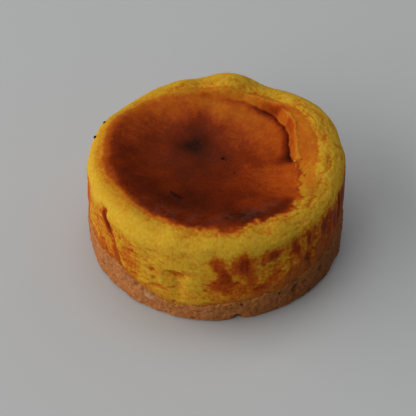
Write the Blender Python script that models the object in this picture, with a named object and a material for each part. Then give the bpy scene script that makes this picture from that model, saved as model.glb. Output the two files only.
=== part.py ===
# A small round baked cheesecake, 75 mm across, on a biscuit base.
# The cheese layer rose inside a plain ring mould and sank again in the middle, which left
# an uneven rim round a shallow dish. On one side the dish has torn away from the rim.
# Metres, +Z up. The origin is under the middle of the cake, and its front faces -Y.
# Angles are in degrees, counter-clockwise from +X as seen from above.

import bmesh
import bpy
import numpy as np

MM = 0.001

# Driving sizes
CAKE_RADIUS = 37.5 * MM
BASE_RADIUS = 37.8 * MM  # the biscuit stands a little proud of the cheese
BASE_HEIGHT = 9.0 * MM  # mean height at which the biscuit gives way to the cheese
RIM_HEIGHT = 30.4 * MM  # mean height of the rim's crest
CREST_RADIUS = 31.5 * MM  # where the rim is highest
SHOULDER_HEIGHT = 4.6 * MM  # from the crest down to where the side is upright
DISH_DEPTH = 5.6 * MM  # from the crest down to the middle of the dish
WALL_SHARE = 0.7  # of the dish's depth, the share that falls away near the rim
LAYER_GAP = 0.3 * MM  # between the biscuit and the cheese
FOOT_ROUNDING = 0.5 * MM  # the biscuit's rounded lower edge
JOIN_BEND = 6.0 * MM  # how far in from the side the join between the layers is wavy

# Each solid starts as a flat sheet. These are the stretches of it, measured from its middle,
# that become the cheese's shoulder, side and underside, and the biscuit's side and underside.
SHOULDER = (CREST_RADIUS, CREST_RADIUS + 8.5 * MM)
CHEESE_SIDE = (SHOULDER[1], SHOULDER[1] + 17.0 * MM)
CHEESE_UNDER = (CHEESE_SIDE[1], CHEESE_SIDE[1] + JOIN_BEND)
BASE_SIDE = (BASE_RADIUS, BASE_RADIUS + BASE_HEIGHT)
BASE_UNDER = (BASE_SIDE[1], BASE_SIDE[1] + FOOT_ROUNDING)

# The mesh: cells across the dish, and rows down the sides
DISH_CELLS = 44
SHOULDER_ROWS = 4
CHEESE_SIDE_ROWS = 11
BASE_SIDE_ROWS = 4

# Swells of the rim and of the join: angle, half width in degrees, change in height
RIM_SWELLS = (
    (22, 17, 2.3 * MM),
    (64, 9, -1.2 * MM),
    (83, 5, 2.0 * MM),
    (98, 8, -0.5 * MM),
    (132, 13, -1.7 * MM),
    (158, 9, 0.7 * MM),
    (236, 22, -0.3 * MM),
    (275, 16, 0.5 * MM),
    (325, 14, -0.4 * MM),
)
JOIN_SWELLS = (
    (60, 25, 0.7 * MM),
    (135, 18, -0.8 * MM),
    (215, 11, 0.9 * MM),
    (243, 9, -2.0 * MM),
    (318, 20, 1.5 * MM),
)
SWELL_REACH = 0.45  # how far in the rim's swells are felt, as a share of the crest's radius

# The tear between dish and rim. It starts and ends softly, and is deepest on the right.
TEAR_RADIUS = 25.3 * MM
TEAR_WAVER = (  # angle, half width in degrees, change in radius
    (2, 12, -3.0 * MM),
    (61, 6, -1.0 * MM),
    (84, 7, 1.4 * MM),
    (108, 7, 2.4 * MM),
)
TEAR_DROPS = (  # begins, full, full until, ends, how far the dish has dropped there
    (-16, 10, 44, 68, 1.5 * MM),
    (-10, 24, 84, 116, 0.8 * MM),
)
TEAR_WIDTH = 2.6 * MM
TEAR_MIDDLE = 50.0  # degrees
CREASE_SHARE = 0.2  # depth of the crease at the tear's foot, for each unit of drop

# Folds that run down the side: top angle, top height, foot angle, foot height, half width, depth
SIDE_FOLDS = (
    (210.5, 26.5 * MM, 221.0, 14.0 * MM, 1.0 * MM, 0.9 * MM),
    (212.5, 16.5 * MM, 212.0, 10.5 * MM, 0.9 * MM, 0.5 * MM),
    (252.5, 15.0 * MM, 252.8, 9.5 * MM, 1.2 * MM, 0.5 * MM),
    (316.0, 25.5 * MM, 311.0, 13.0 * MM, 1.1 * MM, 0.4 * MM),
    (334.0, 24.5 * MM, 331.0, 12.0 * MM, 1.1 * MM, 0.5 * MM),
    (20.0, 26.0 * MM, 27.0, 13.0 * MM, 1.2 * MM, 0.6 * MM),
    (98.0, 24.0 * MM, 92.0, 14.0 * MM, 1.1 * MM, 0.7 * MM),
    (160.0, 25.0 * MM, 166.0, 12.0 * MM, 1.2 * MM, 0.6 * MM),
)

# Pits where bubbles opened on the side: angle, height, half width, half height, depth
CHEESE_PITS = (
    (252.4, 17.2 * MM, 2.2 * MM, 1.2 * MM, 1.3 * MM),
    (241.5, 16.6 * MM, 1.3 * MM, 0.9 * MM, 0.7 * MM),
    (58.0, 16.0 * MM, 1.9 * MM, 1.2 * MM, 1.1 * MM),
    (124.0, 20.5 * MM, 1.5 * MM, 1.0 * MM, 0.8 * MM),
    (182.0, 15.5 * MM, 1.6 * MM, 1.1 * MM, 0.8 * MM),
)
BISCUIT_PITS = (
    (232.5, 7.2 * MM, 1.1 * MM, 1.2 * MM, 0.8 * MM),
    (307.8, 5.8 * MM, 1.0 * MM, 0.9 * MM, 0.8 * MM),
    (279.6, 0.9 * MM, 1.2 * MM, 1.3 * MM, 1.1 * MM),
    (40.0, 4.8 * MM, 1.2 * MM, 1.0 * MM, 0.8 * MM),
    (118.0, 1.0 * MM, 1.4 * MM, 1.2 * MM, 1.0 * MM),
    (195.0, 5.0 * MM, 1.1 * MM, 0.9 * MM, 0.7 * MM),
)
PIT_FLANK = 0.7  # how gently a pit's walls run out, as a share of its half width

# Soft lumps all over
LUMP_WAVES = 24
LUMP_SHORTEST = 7.0 * MM
LUMP_LONGEST = 18.0 * MM
LUMP_SEED = 11
CHEESE_LUMPS = 0.17 * MM
BISCUIT_LUMPS = 0.12 * MM
LUMPS_FADE = 0.85  # the share of the way down the side at which the cheese's lumps begin to fade

CHEESE_COLOUR = (0.80, 0.47, 0.05, 1.0)
CHEESE_ROUGHNESS = 0.62
BISCUIT_COLOUR = (0.45, 0.21, 0.08, 1.0)
BISCUIT_ROUGHNESS = 0.85


def share(x, start, end):
    """How much of the way from start to end x has come, from 0 to 1."""
    return np.clip((x - start) / (end - start), 0.0, 1.0)


def ramp(x, start, end):
    """0 before start, 1 after end, and smooth in between."""
    t = share(x, start, end)
    return t * t * (3.0 - 2.0 * t)


def bell(x, half_width):
    """1 at x = 0, falling off smoothly on both sides."""
    return np.exp(-0.5 * (x / half_width) ** 2)


def turn(angle, centre):
    """The shortest way round from centre to angle, in degrees."""
    return (angle - centre + 180.0) % 360.0 - 180.0


def swells(angle, table):
    return sum(amount * bell(turn(angle, centre), width) for centre, width, amount in table)


def join_height(angle, radius):
    """The top of the biscuit: level inside, wavy where it shows at the side."""
    shown = ramp(radius, CAKE_RADIUS - JOIN_BEND, CAKE_RADIUS)
    return BASE_HEIGHT + shown * swells(angle, JOIN_SWELLS)


def lumps(points, height):
    """A sum of plane waves with random directions, lengths and phases from a fixed seed."""
    draw = np.random.default_rng(LUMP_SEED)
    total = np.zeros(len(points))
    for _ in range(LUMP_WAVES):
        direction = draw.normal(size=3)
        direction /= np.linalg.norm(direction)
        length = draw.uniform(LUMP_SHORTEST, LUMP_LONGEST)
        phase = draw.uniform(0.0, 2.0 * np.pi)
        total += np.sin(2.0 * np.pi * points @ direction / length + phase)
    return height * total / np.sqrt(LUMP_WAVES / 2.0)


def folds(angle, height):
    """Depth of the slanting folds at a place on the side."""
    depth = np.zeros_like(angle)
    for top_angle, top, foot_angle, foot, width, deep in SIDE_FOLDS:
        middle = top_angle + share(top - height, 0.0, top - foot) * (foot_angle - top_angle)
        across = np.radians(turn(angle, middle)) * CAKE_RADIUS
        ends = ramp(height, foot - 2.0 * width, foot) * (1.0 - ramp(height, top, top + 2.0 * width))
        depth += deep * ends * bell(across, width)
    return depth


def pits(angle, height, table):
    """Depth of the round pits at a place on the side."""
    depth = np.zeros_like(angle)
    for centre, middle, width, tall, deep in table:
        across = np.radians(turn(angle, centre)) * CAKE_RADIUS / width
        depth += deep * bell(np.hypot(across, (height - middle) / tall), PIT_FLANK)
    return depth


def tear_drop(angle):
    """How far the dish has dropped from the rim along the tear."""
    place = turn(angle, TEAR_MIDDLE) + TEAR_MIDDLE
    return sum(
        drop * ramp(place, begins, full) * (1.0 - ramp(place, until, ends))
        for begins, full, until, ends, drop in TEAR_DROPS
    )


def top_height(radius, angle):
    """The height of the top, out to the crest: rim, less the bowl, the tear and its crease."""
    felt = ramp(radius, SWELL_REACH * CREST_RADIUS, CREST_RADIUS)
    crest = RIM_HEIGHT + felt * swells(angle, RIM_SWELLS)
    drop = tear_drop(angle) * ramp(radius, 0.0, SWELL_REACH * CREST_RADIUS)
    tear = TEAR_RADIUS + swells(angle, TEAR_WAVER)
    step = drop * (1.0 - ramp(radius, tear - 0.5 * TEAR_WIDTH, tear + 0.5 * TEAR_WIDTH))
    crease = CREASE_SHARE * drop * bell(radius - tear + 0.7 * TEAR_WIDTH, 0.6 * TEAR_WIDTH)
    wall = WALL_SHARE * DISH_DEPTH - drop
    bowl = wall * (1.0 - ramp(radius, 0.5 * CREST_RADIUS, CREST_RADIUS))
    bowl += (1.0 - WALL_SHARE) * DISH_DEPTH * (1.0 - ramp(radius, 0.0, 0.8 * CREST_RADIUS))
    return crest - bowl - step - crease


def on_axes(radius, turned, height):
    return np.stack([radius * np.cos(turned), radius * np.sin(turned), height], axis=1)


def cheese_skin(path, turned):
    """Places points of the cheese layer's sheet, given by distance and turn from its middle:
    over the dish to the crest, a quarter ellipse over the shoulder, down the side, and under."""
    angle = np.degrees(turned) % 360.0
    over = share(path, *SHOULDER)
    down = share(path, *CHEESE_SIDE)
    under = share(path, *CHEESE_UNDER)
    upright = ramp(over, 0.4, 1.0) * (under < 0.5)

    quarter = 0.5 * np.pi * over
    radius = np.minimum(path, CREST_RADIUS) + (CAKE_RADIUS - CREST_RADIUS) * np.sin(quarter)
    height = top_height(np.minimum(path, CREST_RADIUS), angle)
    height -= SHOULDER_HEIGHT * (1.0 - np.cos(quarter))
    foot = join_height(angle, radius - JOIN_BEND * under) + LAYER_GAP
    height += down * (foot - height)
    radius -= upright * (folds(angle, height) + pits(angle, height, CHEESE_PITS))
    radius -= JOIN_BEND * under

    swell = lumps(on_axes(radius, turned, height), CHEESE_LUMPS)
    radius += swell * upright
    height += swell * (1.0 - upright) * (1.0 - ramp(down, LUMPS_FADE, 1.0))
    return on_axes(radius, turned, height)


def biscuit_skin(path, turned):
    """Places points of the biscuit's sheet: out over its top, down its side, and under."""
    angle = np.degrees(turned) % 360.0
    down = share(path, *BASE_SIDE)
    under = share(path, *BASE_UNDER)
    side = path > BASE_RADIUS - LAYER_GAP
    radius = np.minimum(path, BASE_RADIUS)
    height = join_height(angle, radius) * (1.0 - down)
    height += FOOT_ROUNDING * down * (1.0 - under)
    rough = lumps(on_axes(radius, turned, height), BISCUIT_LUMPS)
    radius += side * (rough - pits(angle, height, BISCUIT_PITS)) - FOOT_ROUNDING * under
    return on_axes(radius, turned, height)


def disc_from_square(corners, radius):
    """Moves points of the square from -1 to 1 onto a disc, its square rings onto circles."""
    for vert in corners:
        x, y = vert.co.x, vert.co.y
        reach = max(abs(x), abs(y))
        if reach == 0.0:
            continue
        if abs(x) >= abs(y):
            turned = 0.25 * np.pi * y / x + (np.pi if x < 0.0 else 0.0)
        else:
            turned = 0.5 * np.pi - 0.25 * np.pi * x / y + (np.pi if y < 0.0 else 0.0)
        vert.co.x = radius * reach * np.cos(turned)
        vert.co.y = radius * reach * np.sin(turned)


def grow_sheet(bm, stretch, rows):
    """Extrudes the sheet's outer edge outwards over a stretch, in this many rows."""
    start, end = stretch
    for row in range(1, rows + 1):
        reach = start + (end - start) * row / rows
        rim = [edge for edge in bm.edges if edge.is_boundary]
        grown = bmesh.ops.extrude_edge_only(bm, edges=rim)["geom"]
        for vert in (item for item in grown if isinstance(item, bmesh.types.BMVert)):
            vert.co *= reach / vert.co.length


def close_sheet(bm, skin):
    """Shapes the flat sheet into its skin, then fills the hole that its outer edge now is."""
    flat = np.array([vert.co[:] for vert in bm.verts])
    path = np.hypot(flat[:, 0], flat[:, 1])
    turned = np.arctan2(flat[:, 1], flat[:, 0])
    for vert, point in zip(bm.verts, skin(path, turned)):
        vert.co = point
    bmesh.ops.holes_fill(bm, edges=[edge for edge in bm.edges if edge.is_boundary])
    bmesh.ops.recalc_face_normals(bm, faces=bm.faces)


def finished(bm, name, colour, roughness):
    mesh = bpy.data.meshes.new(name)
    bm.to_mesh(mesh)
    bm.free()
    mesh.shade_smooth()
    material = bpy.data.materials.new(name)
    material.use_nodes = True
    surface = material.node_tree.nodes["Principled BSDF"]
    surface.inputs["Base Color"].default_value = colour
    surface.inputs["Roughness"].default_value = roughness
    surface.inputs["Metallic"].default_value = 0.0
    mesh.materials.append(material)
    made = bpy.data.objects.new(name, mesh)
    bpy.context.scene.collection.objects.link(made)
    return made


def biscuit_base():
    bm = bmesh.new()
    flat_radius = CAKE_RADIUS - JOIN_BEND
    bmesh.ops.create_circle(bm, cap_ends=True, segments=4 * DISH_CELLS, radius=flat_radius)
    grow_sheet(bm, (flat_radius, BASE_RADIUS), 2)
    grow_sheet(bm, BASE_SIDE, BASE_SIDE_ROWS)
    grow_sheet(bm, BASE_UNDER, 1)
    close_sheet(bm, biscuit_skin)
    return finished(bm, "biscuit_base", BISCUIT_COLOUR, BISCUIT_ROUGHNESS)


def cheese_layer():
    bm = bmesh.new()
    bmesh.ops.create_grid(bm, x_segments=DISH_CELLS, y_segments=DISH_CELLS, size=1.0)
    disc_from_square(bm.verts, CREST_RADIUS)
    grow_sheet(bm, SHOULDER, SHOULDER_ROWS)
    grow_sheet(bm, CHEESE_SIDE, CHEESE_SIDE_ROWS)
    grow_sheet(bm, CHEESE_UNDER, 1)
    close_sheet(bm, cheese_skin)
    return finished(bm, "cheese_layer", CHEESE_COLOUR, CHEESE_ROUGHNESS)


for leftover in list(bpy.data.objects):
    bpy.data.objects.remove(leftover)
biscuit_base()
cheese_layer()
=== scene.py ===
# A small baked cheesecake on a biscuit base: its looks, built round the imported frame.
# Lengths are in metres, and a measured table's columns take the units that stand after it. Angles are
# in degrees, counter-clockwise from +X seen from above, so the front of the cake is at 270. Heights
# are measured from the level that it stands on, z = 0.
import math

import bpy
import numpy as np
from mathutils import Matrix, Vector


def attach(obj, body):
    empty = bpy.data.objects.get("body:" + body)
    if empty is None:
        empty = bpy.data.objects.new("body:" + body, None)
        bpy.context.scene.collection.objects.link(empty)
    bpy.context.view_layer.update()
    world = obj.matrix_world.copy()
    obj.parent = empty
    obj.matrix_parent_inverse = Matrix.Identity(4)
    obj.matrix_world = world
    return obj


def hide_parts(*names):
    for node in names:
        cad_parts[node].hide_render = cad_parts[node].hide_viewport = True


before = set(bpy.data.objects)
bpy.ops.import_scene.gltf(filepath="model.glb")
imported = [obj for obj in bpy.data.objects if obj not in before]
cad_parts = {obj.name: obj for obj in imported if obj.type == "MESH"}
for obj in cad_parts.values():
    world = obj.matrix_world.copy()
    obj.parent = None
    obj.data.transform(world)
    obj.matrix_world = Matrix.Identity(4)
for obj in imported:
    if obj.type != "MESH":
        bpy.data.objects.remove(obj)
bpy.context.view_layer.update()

mm = 0.001
print("frame loaded:", ", ".join(sorted(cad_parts)))


def measured(table, *units):  # a table's rows, with each number multiplied by its column's unit
    return [tuple(value * unit for value, unit in zip(row, units)) for row in table]


# Small curves that every shape and colour below is made of

def share(x, start, end):  # 0 at start, 1 at end, straight in between
    return np.clip((x - start) / (end - start), 0.0, 1.0)


def ramp(x, start, end):  # the same, eased at both ends: 3t^2 - 2t^3
    t = share(x, start, end)
    return t * t * (3.0 - 2.0 * t)


def bell(x, halfWidth=1.0):  # 1 at x = 0 and falling off as exp(-x^2 / 2w^2)
    return np.exp(-0.5 * (x / halfWidth) ** 2)


def turnFrom(angle, centre):  # the shortest way round from centre to angle
    return (angle - centre + 180.0) % 360.0 - 180.0


def toward(angle, centre, start, end):  # eased from 0 to 1 as the turn's cosine goes from start to end
    return ramp(np.cos(np.radians(angle - centre)), start, end)


def swells(angle, table):  # bells round the cake, each (angle, half width, amount)
    return sum(amount * bell(turnFrom(angle, centre), width) for centre, width, amount in table)


def outline(angle, table):
    # a value read between (angle, value) pairs, its corners softened by a bell 3 degrees wide
    fine = np.arange(0.0, 360.0, 0.5)
    places, values = np.array(sorted(table)).T
    rough = np.interp(fine, places, values, period=360.0)
    spread = bell(turnFrom(fine, 0.0), 3.0)
    soft = np.fft.ifft(np.fft.fft(rough) * np.fft.fft(spread / spread.sum())).real
    return np.interp(angle, fine, soft, period=360.0)


# Noise in space, worked out for whole arrays of points

def cellValues(cells, seed):  # one fixed random number from -1 to 1 for each whole-number cell
    numbers = np.random.default_rng(seed).uniform(-1.0, 1.0, 8192)
    x, y, z = np.moveaxis(cells.astype(np.int64), -1, 0)
    mixed = (x * 73856093) ^ (y * 19349663) ^ (z * 83492791)
    return numbers[(mixed ^ (mixed >> 15)) & 8191]


def cloud(points, grain, seed, octaves=2):
    # value noise: cell corners' random values blended by eased weights, each octave half the grain
    total, size = 0.0, 1.0
    for octave in range(octaves):
        places = points / (np.asarray(grain) * size)
        low = np.floor(places)
        part = places - low
        part = part * part * (3.0 - 2.0 * part)
        for corner in np.ndindex(2, 2, 2):
            weight = np.prod(np.where(corner, part, 1.0 - part), axis=-1)
            total = total + size * weight * cellValues(low + corner, seed + octave)
        size *= 0.5
    return total


def grains(points, grain, seed):
    # distance to the nearest of the points scattered one to a cell, as a share of the cell
    places = points / np.asarray(grain)
    low = np.floor(places)
    nearest = np.full(points.shape[:-1], 9.0)
    for step in np.ndindex(3, 3, 3):
        cell = low + step - 1.0
        scattered = [0.5 + 0.42 * cellValues(cell, seed + axis) for axis in range(3)]
        gap = np.linalg.norm(places - cell - np.stack(scattered, axis=-1), axis=-1)
        nearest = np.minimum(nearest, gap)
    return nearest


def onAxes(radius, angle, height):  # from distance, angle and height to x, y, z
    turned = np.radians(angle)
    return np.stack(np.broadcast_arrays(radius * np.cos(turned), radius * np.sin(turned), height), axis=-1)


def facings(rings):  # unit normals of a grid of points: along the path crossed with round the cake
    along = np.gradient(rings, axis=0)
    around = np.roll(rings, -1, axis=1) - np.roll(rings, 1, axis=1)
    normal = np.cross(along, around)
    return normal / np.maximum(np.linalg.norm(normal, axis=-1, keepdims=True), 1e-12)


def skinFaces(rows, around):
    # squares between neighbouring rings, and a fan of triangles round a tip at each end
    here = 1 + np.arange(rows * around).reshape(rows, around)
    beside = np.roll(here, -1, axis=1)
    squares = np.stack([here[:-1], here[1:], beside[1:], beside[:-1]], axis=-1).reshape(-1, 4)
    firstFan = np.stack([np.zeros(around, int), here[0], beside[0]], axis=-1)
    lastFan = np.stack([np.full(around, 1 + rows * around), beside[-1], here[-1]], axis=-1)
    return squares, np.concatenate([firstFan, lastFan])


def newPiece(name, points, squares, triangles, fields):
    # a smooth mesh of the faces, which carries each field's numbers at its points
    mesh = bpy.data.meshes.new(name)
    mesh.from_pydata(points, [], squares.tolist() + triangles.tolist())
    for label, values in fields.items():
        mesh.attributes.new(label, "FLOAT", "POINT").data.foreach_set("value", values.astype(np.float32))
    mesh.shade_smooth()
    piece = bpy.data.objects.new(name, mesh)
    bpy.context.scene.collection.objects.link(piece)
    return piece


def tipped(values):  # a grid of values in a row, with the mean of its first ring before and of its last after
    first, last = values[:1].mean(axis=1), values[-1:].mean(axis=1)
    return np.concatenate([first, values.reshape(-1, *values.shape[2:]), last])


def closedRings(name, rings, fields):  # joins rings of points into a closed skin with a tip at each end
    squares, fans = skinFaces(*rings.shape[:2])
    return newPiece(name, tipped(rings), squares, fans, {label: tipped(fields[label]) for label in fields})


# The shape that the baked cheese and the biscuit share

cake = {
    "radius": 37.5 * mm,
    "joinInside": 9.0 * mm,  # where the biscuit gives way to the cheese, away from the side
    "joinBend": 6.0 * mm,  # how far in from the side the join is wavy
    # the join's height where it shows at the side: angle, height
    "joinAtSide": measured((
        (0, 9.4), (60, 9.7), (110, 8.6), (150, 8.4), (185, 9.4), (205, 9.8), (221, 10.7), (228, 9.8),
        (234, 7.8), (241, 7.1), (245, 5.4), (253, 5.2), (262, 6.1), (272, 7.3), (283, 7.7), (294, 8.8),
        (305, 9.5), (324, 10.5), (334, 11.0), (345, 9.8),
    ), 1, mm),
    "lumpSeed": 11,
    "lumpWaves": 24,
    "lumpShortest": 7.0 * mm,
    "lumpLongest": 18.0 * mm,
}


def joinHeight(angle, radius):  # level inside, wavy where it shows at the side
    shown = ramp(radius, cake["radius"] - cake["joinBend"], cake["radius"])
    return cake["joinInside"] + shown * (outline(angle, cake["joinAtSide"]) - cake["joinInside"])


def lumps(points, height):  # a sum of plane waves of random direction, length and phase
    draw = np.random.default_rng(cake["lumpSeed"])
    total = 0.0
    for _ in range(cake["lumpWaves"]):
        direction = draw.normal(size=3)
        direction /= np.linalg.norm(direction)
        length = draw.uniform(cake["lumpShortest"], cake["lumpLongest"])
        phase = draw.uniform(0.0, 2.0 * np.pi)
        total = total + np.sin(2.0 * np.pi * points @ direction / length + phase)
    return height * total / np.sqrt(cake["lumpWaves"] / 2.0)


# The baked cheese: an uneven golden rim round a browned dish, torn from the rim on the right

cheese = {
    "crest": 31.5 * mm,  # distance from the middle at which the rim is highest
    "rimHeight": 30.4 * mm,
    "shoulderHeight": 4.6 * mm,
    "dishDepth": 5.6 * mm,
    "wallShare": 0.7,  # of the dish's depth, the share that falls away near the rim
    "broadSwell": 10,  # swells of this half width and more reach in over the dish
    "broadReach": 0.45,  # of the crest's distance, where they begin
    "narrowReach": 0.78,
    "lumps": 0.17 * mm,
    "rimSwells": measured((  # angle, half width, height
        (22, 17, 2.3),
        (64, 9, -1.2),
        (82, 7, 1.7),
        (98, 8, -0.5),
        (132, 13, -1.7),
        (158, 9, 0.7),
        (236, 22, -0.3),
        (275, 16, 0.5),
        (325, 14, -0.4),
    ), 1, 1, mm),
    "around": 560,
    "dishRows": 84,
    "dishSpacing": 0.75,  # below 1, the rows lie closer together toward the rim
    "shoulderRows": 24,
    "sideRows": 56,
    "foot": 0.5 * mm,  # how far the cheese reaches down inside the biscuit's edge
}

tear = {
    # where it runs: angle, distance
    "path": measured((
        (330, 24.0), (356, 23.1), (5, 22.9), (13, 22.8), (20, 23.4), (28, 24.9), (37, 26.2), (48, 26.9),
        (58, 27.1), (68, 26.9), (84, 27.0), (95, 27.6), (108, 28.0), (120, 27.0), (220, 25.3),
    ), 1, mm),
    "drops": measured((  # begins, full, full until, ends, how far the dish has dropped
        (-10, 8, 44, 74, 1.8),
        (-10, 24, 84, 116, 0.8),
    ), 1, 1, 1, 1, mm),
    "middle": 50.0,
    "width": 1.4 * mm,
    "creaseShare": 0.34,  # of the drop, how much deeper the crease at its foot is
    "lip": 0.26 * mm,  # the raised edge that the rim keeps along the tear
    "ragged": 0.35 * mm,
    "raggedLength": 2.8 * mm,
}

# Folds down the side: top angle, top height, foot angle, foot height, half width, depth
sideFolds = measured((
    (212.0, 26.0, 218.5, 18.0, 2.2, 1.2),
    (219.0, 18.6, 222.5, 10.0, 1.6, 0.5),
    (210.5, 14.0, 211.0, 10.4, 0.7, 0.4),
    (308.0, 25.0, 305.0, 14.0, 0.7, 0.3),
    (319.0, 25.5, 317.0, 13.0, 0.8, 0.4),
    (330.5, 25.5, 329.0, 12.0, 0.8, 0.5),
    (341.0, 26.0, 339.5, 14.0, 0.8, 0.5),
    (20.0, 26.0, 27.0, 13.0, 1.0, 0.6),
    (98.0, 24.0, 92.0, 14.0, 0.9, 0.7),
    (160.0, 25.0, 166.0, 12.0, 1.0, 0.6),
), 1, mm, 1, mm, mm, mm)
foldEdge = 0.28  # of the half width, how wide a fold's steep right edge is

# Pits on the side: angle, height, half width, half height, depth
cheesePits = measured((
    (251.6, 16.9, 2.9, 1.5, 2.1),
    (255.0, 16.4, 1.3, 0.7, 0.9),
    (241.0, 16.7, 1.3, 0.7, 0.9),
    (253.0, 12.0, 1.6, 5.0, 0.8),
    (242.5, 13.0, 1.2, 3.0, 0.4),
    (246.0, 19.6, 1.0, 0.4, 0.4),
    (240.6, 20.4, 0.8, 0.4, 0.4),
    (232.0, 11.4, 0.9, 0.7, 0.6),
    (263.0, 11.5, 1.2, 0.5, 0.5),
    (289.0, 11.2, 1.6, 0.6, 0.7),
    (58.0, 16.0, 1.8, 1.1, 1.1),
    (124.0, 20.5, 1.4, 0.9, 0.8),
    (182.0, 15.5, 1.5, 1.0, 0.8),
), 1, mm, mm, mm, mm)


def sideFoldDepth(angle, height):
    # bells across a slanting line, narrower on the right of it, fading at the line's two ends
    depth = 0.0
    for topAngle, top, footAngle, foot, width, deep in sideFolds:
        middle = topAngle + share(top - height, 0.0, top - foot) * (footAngle - topAngle)
        across = np.radians(turnFrom(angle, middle)) * cake["radius"]
        ends = ramp(height, foot - 2.0 * width, foot) * (1.0 - ramp(height, top, top + 2.0 * width))
        depth = depth + deep * ends * bell(across, np.where(across > 0.0, foldEdge, 1.0) * width)
    return depth


def pitDepth(angle, height, table):  # bells of the distance from each pit's middle
    depth = 0.0
    for centre, middle, width, tall, deep in table:
        across = np.radians(turnFrom(angle, centre)) * cake["radius"] / width
        depth = depth + deep * bell(np.hypot(across, (height - middle) / tall), 0.7)
    return depth


def tearDrop(angle):  # how far the dish has dropped from the rim along the tear
    place = turnFrom(angle, tear["middle"]) + tear["middle"]
    return sum(
        drop * ramp(place, begins, full) * (1.0 - ramp(place, until, ends))
        for begins, full, until, ends, drop in tear["drops"]
    )


def topHeight(radius, angle, tearRadius):
    # the rim's height, less a bowl in two eased steps, the tear's step and the crease at its foot, and
    # plus the lip along it
    crest = cheese["crest"]
    reach = cheese["broadReach"] * crest
    broad = [swell for swell in cheese["rimSwells"] if swell[1] >= cheese["broadSwell"]]
    narrow = [swell for swell in cheese["rimSwells"] if swell[1] < cheese["broadSwell"]]
    rim = cheese["rimHeight"] + ramp(radius, reach, crest) * swells(angle, broad)
    rim = rim + ramp(radius, cheese["narrowReach"] * crest, crest) * swells(angle, narrow)
    drop = tearDrop(angle) * ramp(radius, 0.0, reach)
    wall = cheese["wallShare"] * cheese["dishDepth"] - drop
    bowl = wall * (1.0 - ramp(radius, 0.5 * crest, crest))
    bowl = bowl + (1.0 - cheese["wallShare"]) * cheese["dishDepth"] * (1.0 - ramp(radius, 0.0, 0.8 * crest))
    half = 0.5 * tear["width"]
    step = drop * (1.0 - ramp(radius, tearRadius - half, tearRadius + half))
    crease = tear["creaseShare"] * drop * bell(radius - tearRadius + 1.3 * half, 0.7 * half)
    lip = tear["lip"] * share(drop, 0.0, 1.5 * mm) * bell(radius - tearRadius - 1.3 * half, 0.6 * half)
    return rim - bowl - step - crease + lip


def cheeseRings():
    # the path runs out over the dish, over the shoulder as a quarter ellipse, down the side and under
    crest = cheese["crest"]
    dish = np.linspace(0.0, 1.0, cheese["dishRows"] + 1)[1:] ** cheese["dishSpacing"]
    shoulder = 1.0 + np.linspace(0.0, 1.0, cheese["shoulderRows"] + 1)[1:]
    side = 2.0 + np.linspace(0.0, 1.0, cheese["sideRows"] + 1)[1:]
    under = 3.0 + np.array([0.03, 0.2, 0.6, 1.0])
    path = np.concatenate([dish, shoulder, side, under])[:, None]
    angle = np.arange(cheese["around"])[None, :] * 360.0 / cheese["around"]
    path, angle = np.broadcast_arrays(path, angle)
    out, over, down, tucked = (np.clip(path - start, 0.0, 1.0) for start in range(4))

    quarter = 0.5 * np.pi * over
    radius = crest * out + (cake["radius"] - crest) * np.sin(quarter)
    level = onAxes(radius, angle, 0.0)
    tearRadius = outline(angle, tear["path"])
    alongTear = onAxes(tearRadius, angle, 0.0)
    tearRadius = tearRadius + tear["ragged"] * cloud(alongTear, tear["raggedLength"], 5)
    height = topHeight(crest * out, angle, tearRadius) - cheese["shoulderHeight"] * (1.0 - np.cos(quarter))
    foot = joinHeight(angle, radius - cake["joinBend"] * tucked) - cheese["foot"] * ramp(down, 0.97, 1.0)
    height = height + down * (foot - height)
    upright = ramp(over, 0.4, 1.0) * (tucked == 0.0)
    dent = upright * (sideFoldDepth(angle, height) + pitDepth(angle, height, cheesePits))
    radius = radius - dent
    radius = radius - cake["joinBend"] * tucked

    rings = onAxes(radius, angle, height)
    swell = lumps(rings, cheese["lumps"])
    rings = rings + (swell * upright)[..., None] * onAxes(1.0, angle, 0.0)
    rings[..., 2] += swell * (1.0 - upright) * (1.0 - ramp(down, 0.85, 1.0))
    place = {"angle": angle, "over": over, "down": down, "tucked": tucked, "level": level,
             "distance": np.hypot(level[..., 0], level[..., 1]), "tearRadius": tearRadius, "dent": dent,
             "radius": np.hypot(rings[..., 0], rings[..., 1]), "height": rings[..., 2]}
    return rings, place


# Browning, from 0 for pale golden cheese to 1 for a burnt spot

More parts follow.
